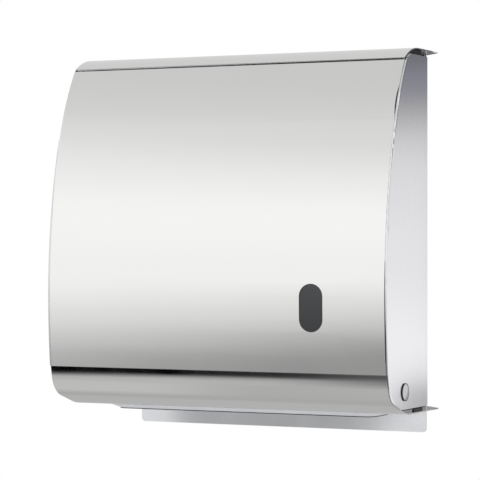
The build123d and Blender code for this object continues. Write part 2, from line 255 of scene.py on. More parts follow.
@dataclass(frozen=True)
class PolishedSteel(Finish):
    """Buffed stainless sheet: a clear mirror with faint wiping marks and a little haze."""

    metallic: float = 1.0
    relief_mm: float = 0.0004
    relief_share: float = 1.0
    smear_mm: float = 55.0
    smear_range: Pair = (0.35, 0.75)
    haze: float = 0.05
    buff_mm: float = 1.5
    buff_run_mm: float = 90.0

    def texture(self, tree: NodeTree, place: NodeSocket) -> Pattern:
        """Vary the haze in soft smears and draw fine buffing lines across the sheet.

        Args:
            tree: Node tree of the material.
            place: Object coordinates.

        Returns:
            The height of the lines, and the gloss.
        """
        smear = add_node(tree, "ShaderNodeTexNoise",
                         {"Vector": place, "Scale": 1 / (self.smear_mm * MM), "Detail": 4.0,
                          "Roughness": 0.6, "Distortion": 0.8})
        gloss = add_node(tree, "ShaderNodeMapRange",
                         {"Value": smear.outputs["Fac"], "From Min": self.smear_range[0],
                          "From Max": self.smear_range[1], "To Min": self.roughness,
                          "To Max": self.roughness + self.haze})
        # Real buffing lines are a few hundredths of a millimetre wide; these show at picture scale.
        along, across = 1 / (self.buff_run_mm * MM), 1 / (self.buff_mm * MM)
        stretch = add_node(tree, "ShaderNodeMapping", {"Vector": place, "Scale": (along, across, across)})
        lines = add_node(tree, "ShaderNodeTexNoise",
                         {"Vector": stretch.outputs["Vector"], "Scale": 1.0, "Detail": 2.0})
        return lines.outputs["Fac"], {"Roughness": gloss.outputs["Result"]}


@dataclass(frozen=True)
class SatinSteel(Finish):
    """Stainless sheet ground with a belt: soft reflections drawn out along the grain."""

    metallic: float = 1.0
    relief_mm: float = 0.004
    grain_mm: float = 0.9
    grain_run_mm: float = 60.0
    grain_range: Pair = (0.3, 0.7)
    contrast: float = 0.05
    anisotropy: float = 0.3

    def texture(self, tree: NodeTree, place: NodeSocket) -> Pattern:
        """Draw the belt grain in gloss and height.

        Args:
            tree: Node tree of the material.
            place: Object coordinates.

        Returns:
            The height of the grain, and the gloss with its direction.
        """
        # The real grain is about a tenth of a millimetre wide; it is drawn coarser so that it shows.
        along, across = 1 / (self.grain_run_mm * MM), 1 / (self.grain_mm * MM)
        stretch = add_node(tree, "ShaderNodeMapping", {"Vector": place, "Scale": (across, across, along)})
        grain = add_node(tree, "ShaderNodeTexNoise",
                         {"Vector": stretch.outputs["Vector"], "Scale": 1.0, "Detail": 3.0,
                          "Roughness": 0.7})
        gloss = add_node(tree, "ShaderNodeMapRange",
                         {"Value": grain.outputs["Fac"], "From Min": self.grain_range[0],
                          "From Max": self.grain_range[1], "To Min": self.roughness - self.contrast,
                          "To Max": self.roughness + self.contrast})
        return grain.outputs["Fac"], {"Anisotropic": self.anisotropy, "Roughness": gloss.outputs["Result"]}


@dataclass(frozen=True)
class TurnedSteel(Finish):
    """Stainless bar turned on a lathe: fine rings round its axis, which runs across the wall."""

    metallic: float = 1.0
    axis_mm: Pair = (-84.4, -106.3)
    ring_mm: float = 0.7
    contrast: float = 0.06

    def texture(self, tree: NodeTree, place: NodeSocket) -> Pattern:
        """Draw the rings of the lathe in gloss and height.

        Args:
            tree: Node tree of the material.
            place: Object coordinates.

        Returns:
            The height of the rings, and the gloss.
        """
        centred = add_node(tree, "ShaderNodeVectorMath",
                           {0: place, 1: (0.0, self.axis_mm[0] * MM, self.axis_mm[1] * MM)},
                           operation="SUBTRACT")
        # Real turning marks are a tenth as wide; they are drawn coarser so that they show.
        rings = add_node(tree, "ShaderNodeTexWave",
                         {"Vector": centred.outputs["Vector"],
                          "Scale": math.tau / WAVE_RADIANS / (self.ring_mm * MM)},
                         wave_type="RINGS", rings_direction="X")
        gloss = add_node(tree, "ShaderNodeMapRange",
                         {"Value": rings.outputs["Fac"], "To Min": self.roughness - self.contrast,
                          "To Max": self.roughness + self.contrast})
        return rings.outputs["Fac"], {"Roughness": gloss.outputs["Result"]}


@dataclass(frozen=True, kw_only=True)
class CloudedMetal(Finish):
    """Rolled or plated metal: a dull shine with cloudy patches and fine grit."""

    metallic: float = 1.0
    relief_mm: float = 0.006
    relief_share: float = 0.6
    second_tone: str
    cloud_mm: float
    cloud_range: Pair = (0.3, 0.7)
    dulling: float = 0.08
    grit_mm: float = 0.8

    def texture(self, tree: NodeTree, place: NodeSocket) -> Pattern:
        """Mix two tones in clouds, dull the second one and raise a fine grit.

        Args:
            tree: Node tree of the material.
            place: Object coordinates.

        Returns:
            The height of the grit, and the colour and gloss.
        """
        cloud = add_node(tree, "ShaderNodeTexNoise",
                         {"Vector": place, "Scale": 1 / (self.cloud_mm * MM), "Detail": 5.0})
        share = add_node(tree, "ShaderNodeMapRange",
                         {"Value": cloud.outputs["Fac"], "From Min": self.cloud_range[0],
                          "From Max": self.cloud_range[1]})
        tone = add_node(tree, "ShaderNodeMix",
                        {"Factor": share.outputs["Result"], "A": linear(self.second_tone),
                         "B": linear(self.tone)}, data_type="RGBA")
        gloss = add_node(tree, "ShaderNodeMapRange",
                         {"Value": share.outputs["Result"], "To Min": self.roughness + self.dulling,
                          "To Max": self.roughness})
        grit = add_node(tree, "ShaderNodeTexNoise",
                        {"Vector": place, "Scale": 1 / (self.grit_mm * MM), "Detail": 2.0})
        return grit.outputs["Fac"], {"Base Color": tone.outputs["Result"],
                                     "Roughness": gloss.outputs["Result"]}


@dataclass(frozen=True, kw_only=True)
class MouldedPlastic(Finish):
    """Injection moulded plastic or rubber: a fine spark texture and slight shading in the colour."""

    relief_share: float = 0.7
    second_tone: str
    mottle_mm: float = 22.0
    spark_mm: float = 0.7
    coat: float = 0.0

    def texture(self, tree: NodeTree, place: NodeSocket) -> Pattern:
        """Draw the spark texture of the mould and a faint mottling.

        Args:
            tree: Node tree of the material.
            place: Object coordinates.

        Returns:
            The height of the sparks, and the colour with its coat.
        """
        mottle = add_node(tree, "ShaderNodeTexNoise",
                          {"Vector": place, "Scale": 1 / (self.mottle_mm * MM), "Detail": 3.0})
        tone = add_node(tree, "ShaderNodeMix",
                        {"Factor": mottle.outputs["Fac"], "A": linear(self.second_tone),
                         "B": linear(self.tone)}, data_type="RGBA")
        spark = add_node(tree, "ShaderNodeTexNoise",
                         {"Vector": place, "Scale": 1 / (self.spark_mm * MM), "Detail": 1.0})
        return spark.outputs["Fac"], {"Coat Weight": self.coat, "Base Color": tone.outputs["Result"]}


FINISHES: tuple[Finish, ...] = (
    # 304 stainless sheet, buffed: the front, cap and trough mirror the studio
    PolishedSteel(Slot.POLISHED_STEEL, "buffed_stainless_steel", "#E7E7E6", roughness=0.06),
    # 304 stainless sheet, belt ground: the cheeks blur what stands beside them
    SatinSteel(Slot.SATIN_STEEL, "belt_ground_stainless_steel", "#E2E2E5", roughness=0.24),
    # stainless sheet as it leaves the mill: dull and slightly clouded
    CloudedMetal(Slot.MILL_STEEL, "mill_finish_stainless_steel", "#DCDDDF", roughness=0.24,
                 second_tone="#CDCED1", cloud_mm=60.0, relief_mm=0.003),
    # zinc plated steel with clear passivation: bluish grey with fine grit
    CloudedMetal(Slot.ZINC, "zinc_plated_steel", "#C3C8CC", roughness=0.3,
                 second_tone="#9FA6AD", cloud_mm=5.0, grit_mm=0.6),
    # nickel plated brass and zinc casting: warm bright metal
    CloudedMetal(Slot.LOCK_NICKEL, "nickel_plated_brass", "#D8D3C8", roughness=0.16,
                 second_tone="#BDB7AB", cloud_mm=8.0, grit_mm=0.5),
    # light grey ABS, moulded: the smooth throat that the towels slide on
    MouldedPlastic(Slot.GUARD_PLASTIC, "moulded_abs", "#DFE0E2", roughness=0.35,
                   second_tone="#CDCED1"),
    # natural nylon, moulded: milky and slightly glossy
    MouldedPlastic(Slot.NYLON, "natural_nylon", "#E4E1D6", roughness=0.4,
                   second_tone="#D6D2C4", spark_mm=0.9, relief_mm=0.006),
    # black moulded rubber: matt, a little grey where it was handled
    MouldedPlastic(Slot.BLACK_RUBBER, "black_rubber", "#1B1B1C", roughness=0.6,
                   second_tone="#262627", spark_mm=0.6, relief_mm=0.02),
    # smoked acrylic sheet: nearly black with a clear gloss
    MouldedPlastic(Slot.SMOKED_PANE, "smoked_acrylic", "#17181A", roughness=0.08,
                   second_tone="#202124", spark_mm=6.0, relief_mm=0.004, coat=0.5),
    # black moulded plastic: the frame behind the pane
    MouldedPlastic(Slot.BLACK_PLASTIC, "black_moulded_plastic", "#202022", roughness=0.45,
                   second_tone="#2A2A2C", spark_mm=0.8),
)

# stainless bar, turned: the heads of the hinge pins are greyer than the ground sheet round them
TURNED_STEEL = TurnedSteel(Slot.SATIN_STEEL, "turned_stainless_steel", "#BDBDC0", roughness=0.28)


class Wardrobe:
    """All finishes, made once and handed out by slot."""

    def __init__(self) -> None:
        """Build every material."""
        self.materials = {finish.slot: finish.build() for finish in FINISHES}
        self.turned = TURNED_STEEL.build()

    def dress(self, piece: Object, slot: Slot, turned: bool = False) -> None:
        """Give a piece the finish of a slot.

        Args:
            piece: CAD node or new piece.
            slot: Material slot of the record.
            turned: Whether the piece is turned from bar, and not cut from sheet.
        """
        piece.data.materials.clear()
        piece.data.materials.append(self.turned if turned else self.materials[slot])


def level_ramp(tree: NodeTree, source: NodeSocket, stops: Stops, full: float = 1.0,
               bend: Bend = Bend.STRAIGHT) -> NodeSocket:
    """Turn a value into a brightness by a row of stops.

    Args:
        tree: Node tree that gets the ramp.
        source: Value in the unit of the stops.
        stops: Place and brightness of each stop, in rising order.
        full: Brightness that comes out as one.
        bend: How the ramp runs between its stops.

    Returns:
        The grey colour between the stops.
    """
    low, high = stops[0][0], stops[-1][0]
    scaled = add_node(tree, "ShaderNodeMapRange", {"Value": source, "From Min": low, "From Max": high})
    node = add_node(tree, "ShaderNodeValToRGB", {"Fac": scaled.outputs["Result"]})
    ramp = node.color_ramp
    ramp.interpolation = bend.value
    while len(ramp.elements) < len(stops):
        ramp.elements.new(1.0)
    for element, (place, level) in zip(ramp.elements, stops):
        element.position = (place - low) / (high - low)
        element.color = (level / full, level / full, level / full, 1.0)
    return node.outputs["Color"]


@dataclass(frozen=True)
class Lamp:
    """A soft square lamp that points at the object. Lengths in millimetres."""

    name: str
    place: Triple
    watts: float
    size: float

    def hang(self) -> None:
        """Hang the lamp, unseen by the steel."""
        data = bpy.data.lights.new(self.name, "AREA")
        data.energy = self.watts
        data.size = self.size * MM
        lamp = bpy.data.objects.new(self.name, data)
        bpy.context.scene.collection.objects.link(lamp)
        lamp.location = Vector(self.place) * MM
        lamp.rotation_mode = "QUATERNION"
        lamp.rotation_quaternion = (-Vector(self.place)).to_track_quat("-Z", "Y")
        lamp.visible_glossy = False


@dataclass(frozen=True)
class Board:
    """An upright board that only reflections show. Lengths in millimetres.

    Behind the wall plane, where its depth is above zero, it faces the front, and before it the wall.
    Surfaces that are closer than its nearest length don't mirror it.
    """

    name: str
    x_range: Pair
    z_range: Pair
    depth: float
    nearest: float = 0.0

    def stand(self) -> tuple[NodeTree, NodeSocket, NodeSocket]:
        """Make the board, with a material that doesn't shine yet.

        Returns:
            The node tree of its material, and the places across and up it in millimetres.
        """
        shape = bmesh.new()
        bmesh.ops.create_grid(shape, x_segments=1, y_segments=1, size=0.5)
        width, height = (high - low for low, high in (self.x_range, self.z_range))
        bmesh.ops.scale(shape, vec=(width * MM, height * MM, 1.0), verts=shape.verts)
        turn = Matrix.Rotation(math.copysign(math.pi / 2, self.depth), 3, "X")
        bmesh.ops.rotate(shape, cent=(0.0, 0.0, 0.0), matrix=turn, verts=shape.verts)
        middle = Vector((sum(self.x_range) / 2, self.depth, sum(self.z_range) / 2)) * MM
        bmesh.ops.translate(shape, vec=middle, verts=shape.verts)
        board = new_piece(self.name, shape)
        board.visible_camera = False
        board.visible_diffuse = False
        board.visible_shadow = False
        board.visible_transmission = False
        material = bpy.data.materials.new(self.name)
        material.use_nodes = True
        board.data.materials.append(material)
        tree = material.node_tree
        tree.nodes.clear()
        place = add_node(tree, "ShaderNodeTexCoord").outputs["Object"]
        scaled = add_node(tree, "ShaderNodeVectorMath", {0: place, "Scale": 1 / MM}, operation="SCALE")
        parts = add_node(tree, "ShaderNodeSeparateXYZ", {"Vector": scaled.outputs["Vector"]})
        return tree, parts.outputs["X"], parts.outputs["Z"]

    def light(self, tree: NodeTree, colour: NodeSocket, gain: float) -> None:
        """Let the board glow to its front, and leave it clear from behind and to what is too close.

        Args:
            tree: Node tree of its material.
            colour: Its light, as shares of the full brightness.
            gain: The full brightness.
        """
        glow = add_node(tree, "ShaderNodeEmission", {"Color": colour, "Strength": gain})
        clear = add_node(tree, "ShaderNodeBsdfTransparent")
        facing = add_node(tree, "ShaderNodeNewGeometry").outputs["Backfacing"]
        length = add_node(tree, "ShaderNodeLightPath").outputs["Ray Length"]
        close = add_node(tree, "ShaderNodeMath", {0: length, 1: self.nearest * MM}, operation="LESS_THAN")
        unseen = add_node(tree, "ShaderNodeMath", {0: facing, 1: close.outputs["Value"]},
                          operation="MAXIMUM")
        mix = add_node(tree, "ShaderNodeMixShader",
                       {0: unseen.outputs["Value"], 1: glow.outputs["Emission"], 2: clear.outputs["BSDF"]})
        add_node(tree, "ShaderNodeOutputMaterial", {"Surface": mix.outputs["Shader"]})


@dataclass
class Studio:
    """Camera, floor, lamps and the surroundings that the steel mirrors. Lengths in millimetres."""

    camera_place: Triple = (700.98, -1525.5, 0.0)
    camera_azimuth: float = 24.68
    camera_yaw: float = 1.0475
    camera_pitch: float = 0.0209
    camera_reach: float = 100000.0
    lens: float = 164.89
    sensor: float = 36.0
    floor_drop: float = 1150.0
    floor_radius: float = 2500.0
    floor_sides: int = 96
    floor_tone: str = "#F4F4F4"
    floor_roughness: float = 0.9
    # brightness that a full stop of the ramps stands for
    gain: float = 1.2
    # even light on what isn't metal, and the two lamps for plastics and edges
    fill: float = 0.75
    fill_tone: str = "#F7F8FA"
    lamps: tuple[Lamp, ...] = (
        Lamp("key_lamp", (-900.0, -1500.0, 1300.0), watts=22.0, size=900.0),
        Lamp("side_lamp", (1300.0, -700.0, 500.0), watts=9.0, size=700.0),
    )
    # card to the right of the object, the heights of its stops, and their brightness
    side_card: Board = Board("side_card", (145.0, 900.0), (-700.0, 700.0), depth=6.0)
    card_stops: Stops = (
        (-700.0, 1.10), (-75.0, 1.10), (-30.0, 1.01), (15.0, 0.96), (60.0, 0.85), (82.0, 0.67),
        (105.0, 0.38), (128.0, 0.25), (152.0, 0.14), (700.0, 0.14),
    )
    # the card's low shade, which sinks towards its far side, and its lavender top
    shade_stops: Stops = (
        (-700.0, 0.50), (-127.0, 0.48), (-116.0, 0.50), (-109.0, 0.63), (-102.0, 0.82), (-94.0, 0.93),
        (-80.0, 1.0), (700.0, 1.0),
    )
    shade_from: float = 174.0
    shade_slope: float = 2.0
    tint_heights: Pair = (98.0, 120.0)
    tint: tuple[float, float, float, float] = (0.97, 0.965, 1.12, 1.0)
    # darker flag between the card and the object, the heights of its stops, and their brightness
    back_flag: Board = Board("back_flag", (104.0, 145.0), (-150.0, 137.7), depth=3.0, nearest=5.0)
    flag_stops: Stops = ((-150.0, 0.32), (108.0, 0.32), (126.0, 0.18), (137.7, 0.18))
    # low card before the lip of the back, the places of its stops across it, and their brightness
    lip_card: Board = Board("lip_card", (-190.0, 140.0), (-180.0, -128.0), depth=-60.0)
    lip_stops: Stops = (
        (-190.0, 1.13), (-148.0, 1.12), (-127.0, 0.98), (-114.0, 0.72), (-99.0, 0.58), (27.0, 0.58),
        (41.0, 0.63), (55.0, 0.73), (62.0, 0.88), (69.0, 0.97), (83.0, 1.08), (97.0, 1.13), (140.0, 1.14),
    )
    # elevation in degrees of the stops in front of the object, and their brightness
    sky_stops: Stops = (
        (-90.0, 0.58), (-30.0, 0.56), (-15.5, 0.358), (-11.0, 0.59), (-7.7, 0.775), (-4.2, 0.93),
        (-0.5, 1.06), (6.0, 1.10), (15.0, 1.125), (20.0, 1.08), (26.0, 0.98), (31.0, 0.885),
        (38.6, 0.80), (54.5, 0.73), (90.0, 0.71),
    )
    # share of that light left by a dark floor line, crisp on the left and blurred on the right
    crisp_stops: Stops = (
        (-90.0, 1.0), (-27.5, 1.0), (-26.0, 0.85), (-24.8, 0.30), (-23.7, 0.0), (-18.0, 0.0),
        (-16.5, 1.0), (90.0, 1.0),
    )
    blurred_stops: Stops = (
        (-90.0, 1.0), (-36.0, 1.0), (-32.5, 0.84), (-29.0, 0.50), (-25.6, 0.38), (-22.0, 0.23),
        (-18.0, 0.21), (-16.5, 1.0), (90.0, 1.0),
    )
    # share of the light from below that is left from left to right, and the elevations it fades in at
    below_stops: Stops = (
        (-0.60, 1.06), (-0.468, 1.06), (-0.457, 1.0), (-0.443, 0.91), (-0.43, 0.86), (-0.405, 0.86),
        (-0.385, 0.885), (-0.37, 0.90), (-0.30, 0.90),
    )
    below_from: Pair = (-36.0, -30.0)
    # elevation of the stops behind the object, their brightness, and the directions they fade in at
    rear_stops: Stops = ((-90.0, 0.48), (-40.0, 0.48), (-15.0, 0.52), (5.0, 0.74), (90.0, 0.735))
    rear_from: Pair = (-0.05, 0.35)
    # sideways directions between which the bright wall narrows to the right, its middle and by how much
    wall_ends: Pair = (-0.515, -0.375)
    wall_rise: float = 12.0
    wall_narrowing: float = 1.18
    # sideways directions between which the floor line blurs to the right, and how late it does
    line_ends: Pair = (-0.432, -0.37)
    line_power: float = 1.1

    def build(self) -> None:
        """Make everything that isn't part of the object."""
        self.add_camera()
        self.add_floor()
        self.add_world()
        for lamp in self.lamps:
            lamp.hang()
        self.add_side_card()
        self.add_back_flag()
        self.add_lip_card()
        bpy.context.scene.view_settings.view_transform = "Standard"

    def add_camera(self) -> None:
        """Place the camera level with the middle of the object, to its right."""
        data = bpy.data.cameras.new("camera")
        data.lens = self.lens
        data.sensor_width = self.sensor
        data.clip_end = self.camera_reach * MM
        camera = bpy.data.objects.new("camera", data)
        bpy.context.scene.collection.objects.link(camera)
        camera.location = Vector(self.camera_place) * MM
        turn = math.radians(self.camera_azimuth + self.camera_yaw)
        rise = math.radians(self.camera_pitch)
        ahead = Vector((-math.sin(turn) * math.cos(rise), math.cos(turn) * math.cos(rise), math.sin(rise)))
        camera.rotation_mode = "QUATERNION"
        camera.rotation_quaternion = ahead.to_track_quat("-Z", "Y")
        bpy.context.scene.camera = camera

    def add_floor(self) -> None:
        """Lay a plain pale floor far below the object."""
        shape = bmesh.new()
        bmesh.ops.create_circle(shape, cap_ends=True, segments=self.floor_sides,
                                radius=self.floor_radius * MM)
        bmesh.ops.translate(shape, vec=(0.0, 0.0, -self.floor_drop * MM), verts=shape.verts)
        floor = new_piece("floor", shape)
        material = bpy.data.materials.new("pale_floor")
        material.use_nodes = True
        tree = material.node_tree
        shader = tree.nodes["Principled BSDF"]
        fill_sockets(tree, shader, {"Base Color": linear(self.floor_tone),
                                    "Roughness": self.floor_roughness})
        path = add_node(tree, "ShaderNodeLightPath")
        white = add_node(tree, "ShaderNodeEmission", {"Color": WHITE, "Strength": 1.0})
        mix = add_node(tree, "ShaderNodeMixShader",
                       {0: path.outputs["Is Camera Ray"], 1: shader.outputs["BSDF"],
                        2: white.outputs["Emission"]})
        fill_sockets(tree, tree.nodes["Material Output"], {"Surface": mix.outputs["Shader"]})
        floor.data.materials.append(material)
        floor.visible_glossy = False

    def add_world(self) -> None:
        """Make the surroundings: white to the camera, and a soft studio to the steel."""
        world = bpy.data.worlds.new("studio")
        bpy.context.scene.world = world
        world.use_nodes = True
        tree = world.node_tree
        tree.nodes.clear()
        seen = add_node(tree, "ShaderNodeBackground", {"Color": WHITE, "Strength": 1.0})
        mirrored = add_node(tree, "ShaderNodeBackground", {"Color": self.sky(tree), "Strength": self.gain})
        light = add_node(tree, "ShaderNodeBackground",
                         {"Color": linear(self.fill_tone), "Strength": self.fill})
        path = add_node(tree, "ShaderNodeLightPath")
        glossy = add_node(tree, "ShaderNodeMixShader",
                          {0: path.outputs["Is Glossy Ray"], 1: light.outputs["Background"],
                           2: mirrored.outputs["Background"]})
        clear = add_node(tree, "ShaderNodeMath",
                         {0: path.outputs["Is Camera Ray"], 1: path.outputs["Is Transmission Ray"]},
                         operation="MAXIMUM")
        mix = add_node(tree, "ShaderNodeMixShader",
                       {0: clear.outputs["Value"], 1: glossy.outputs["Shader"],
                        2: seen.outputs["Background"]})
        add_node(tree, "ShaderNodeOutputWorld", {"Surface": mix.outputs["Shader"]})

    def sky(self, tree: NodeTree) -> NodeSocket:
        """Draw the studio that the steel mirrors.

        Args:
            tree: Node tree of the world.

        Returns:
            Its light in each direction, as a share of the full brightness.
        """
        direction = add_node(tree, "ShaderNodeTexCoord").outputs["Generated"]
        parts = add_node(tree, "ShaderNodeSeparateXYZ", {"Vector": direction})
        sideways = parts.outputs["X"]
        rise = add_node(tree, "ShaderNodeMath", {0: parts.outputs["Z"]}, operation="ARCSINE")
        elevation = add_node(tree, "ShaderNodeMath", {0: rise.outputs["Value"]},
                             operation="DEGREES").outputs["Value"]
        lined = add_node(tree, "ShaderNodeMix",
                         {"Factor": 1.0, "A": self.bright_wall(tree, sideways, elevation),
                          "B": self.floor_line(tree, sideways, elevation)},
                         data_type="RGBA", blend_type="MULTIPLY")
        below = add_node(tree, "ShaderNodeMapRange",
                         {"Value": elevation, "From Min": self.below_from[0],
                          "From Max": self.below_from[1], "To Min": 1.0, "To Max": 0.0})
        graded = add_node(tree, "ShaderNodeMix",
                          {"Factor": below.outputs["Result"], "A": lined.outputs["Result"],
                           "B": level_ramp(tree, sideways, self.below_stops)},
                          data_type="RGBA", blend_type="MULTIPLY")
        behind = add_node(tree, "ShaderNodeMapRange",
                          {"Value": parts.outputs["Y"], "From Min": self.rear_from[0],
                           "From Max": self.rear_from[1]})
        whole = add_node(tree, "ShaderNodeMix",
                         {"Factor": behind.outputs["Result"], "A": graded.outputs["Result"],
                          "B": level_ramp(tree, elevation, self.rear_stops, self.gain)},
                         data_type="RGBA")
        return whole.outputs["Result"]

    def bright_wall(self, tree: NodeTree, sideways: NodeSocket, elevation: NodeSocket) -> NodeSocket:
        """Draw the bright wall in front of the object, which narrows to the right.

        Args:
            tree: Node tree of the world.
            sideways: Sideways part of the direction.
            elevation: Elevation of the direction, in degrees.

        Returns:
            Its light, as a share of the full brightness.
        """
        narrowing = add_node(tree, "ShaderNodeMapRange",
                             {"Value": sideways, "From Min": self.wall_ends[0],
                              "From Max": self.wall_ends[1], "To Min": 1.0, "To Max": self.wall_narrowing})
        above = add_node(tree, "ShaderNodeMath", {0: elevation, 1: self.wall_rise}, operation="SUBTRACT")
        narrowed = add_node(tree, "ShaderNodeMath",
                            {0: above.outputs["Value"], 1: narrowing.outputs["Result"], 2: self.wall_rise},
                            operation="MULTIPLY_ADD")
        return level_ramp(tree, narrowed.outputs["Value"], self.sky_stops, self.gain, Bend.SMOOTH)

    def floor_line(self, tree: NodeTree, sideways: NodeSocket, elevation: NodeSocket) -> NodeSocket:
        """Draw the dark line where the wall meets the floor, which blurs to the right.

        Args:
            tree: Node tree of the world.
            sideways: Sideways part of the direction.
            elevation: Elevation of the direction, in degrees.

        Returns:
            The share of the light that it leaves.
        """
        rightward = add_node(tree, "ShaderNodeMapRange",
                             {"Value": sideways, "From Min": self.line_ends[0],
                              "From Max": self.line_ends[1]})
        blur = add_node(tree, "ShaderNodeMath", {0: rightward.outputs["Result"], 1: self.line_power},
                        operation="POWER")
        line = add_node(tree, "ShaderNodeMix",
                        {"Factor": blur.outputs["Value"],
                         "A": level_ramp(tree, elevation, self.crisp_stops),
                         "B": level_ramp(tree, elevation, self.blurred_stops)}, data_type="RGBA")
        return line.outputs["Result"]

    def add_side_card(self) -> None:
        """Stand a graded card to the right of the object, for its cheek."""
        tree, across, height = self.side_card.stand()
        grey = level_ramp(tree, height, self.card_stops, self.gain, Bend.SMOOTH)
        beyond = add_node(tree, "ShaderNodeMath", {0: across, 1: self.shade_from}, operation="SUBTRACT")
        past = add_node(tree, "ShaderNodeMath", {0: beyond.outputs["Value"], 1: 0.0}, operation="MAXIMUM")
        sunk = add_node(tree, "ShaderNodeMath", {0: past.outputs["Value"], 1: self.shade_slope, 2: height},
                        operation="MULTIPLY_ADD")
        shaded = add_node(tree, "ShaderNodeMix",
                          {"Factor": 1.0, "A": grey,
                           "B": level_ramp(tree, sunk.outputs["Value"], self.shade_stops)},
                          data_type="RGBA", blend_type="MULTIPLY")
        top = add_node(tree, "ShaderNodeMapRange",
                       {"Value": height, "From Min": self.tint_heights[0],
                        "From Max": self.tint_heights[1]})
        tinted = add_node(tree, "ShaderNodeMix",
                          {"Factor": top.outputs["Result"], "A": shaded.outputs["Result"], "B": self.tint},
                          data_type="RGBA", blend_type="MULTIPLY")
        self.side_card.light(tree, tinted.outputs["Result"], self.gain)

    def add_back_flag(self) -> None:
        """Stand a dark flag behind the right edge of the object, for the gaps round its cover."""
        tree, _, height = self.back_flag.stand()
        self.back_flag.light(tree, level_ramp(tree, height, self.flag_stops, self.gain), self.gain)

    def add_lip_card(self) -> None:
        """Hang a graded card below the object, facing the lip of its back."""
        tree, across, _ = self.lip_card.stand()
        self.lip_card.light(tree, level_ramp(tree, across, self.lip_stops, self.gain), self.gain)


@dataclass
class SubAssembly:
    """A body of the part: its solids and the finish of each."""

    body: Body
    finishes: dict[str, Slot]
    turned_nodes: tuple[str, ...] = ()
    pieces: list[Object] = field(default_factory=list)

    def dress(self, nodes: dict[str, Object], wardrobe: Wardrobe) -> None:
        """Give each solid its finish.

        Args:
            nodes: Solids of the frame by name.
            wardrobe: The finishes.
        """
        for name, slot in self.finishes.items():
            wardrobe.dress(nodes[name], slot, name in self.turned_nodes)
            if slot is Slot.POLISHED_STEEL:
                join_seams(nodes[name])
            self.pieces.append(nodes[name])
            LOG.info("%s: %s on body %s", name, slot.value, self.body.value)

    def add_piece(self, name: str, shape: BMesh, slot: Slot, wardrobe: Wardrobe) -> None:
        """Add a piece that moves with this body.

        Args:
            name: Name of the piece.
            shape: Its mesh, in metres in the frame of the part.
            slot: Its finish.
            wardrobe: The finishes.
        """
        piece = new_piece(name, shape)
        wardrobe.dress(piece, slot)
        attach(piece, self.body.value)
        self.pieces.append(piece)
        LOG.info("%s: added to body %s", name, self.body.value)

    def build(self, wardrobe: Wardrobe) -> None:
        """Add the details that the solids leave out.

        Args:
            wardrobe: The finishes.
        """


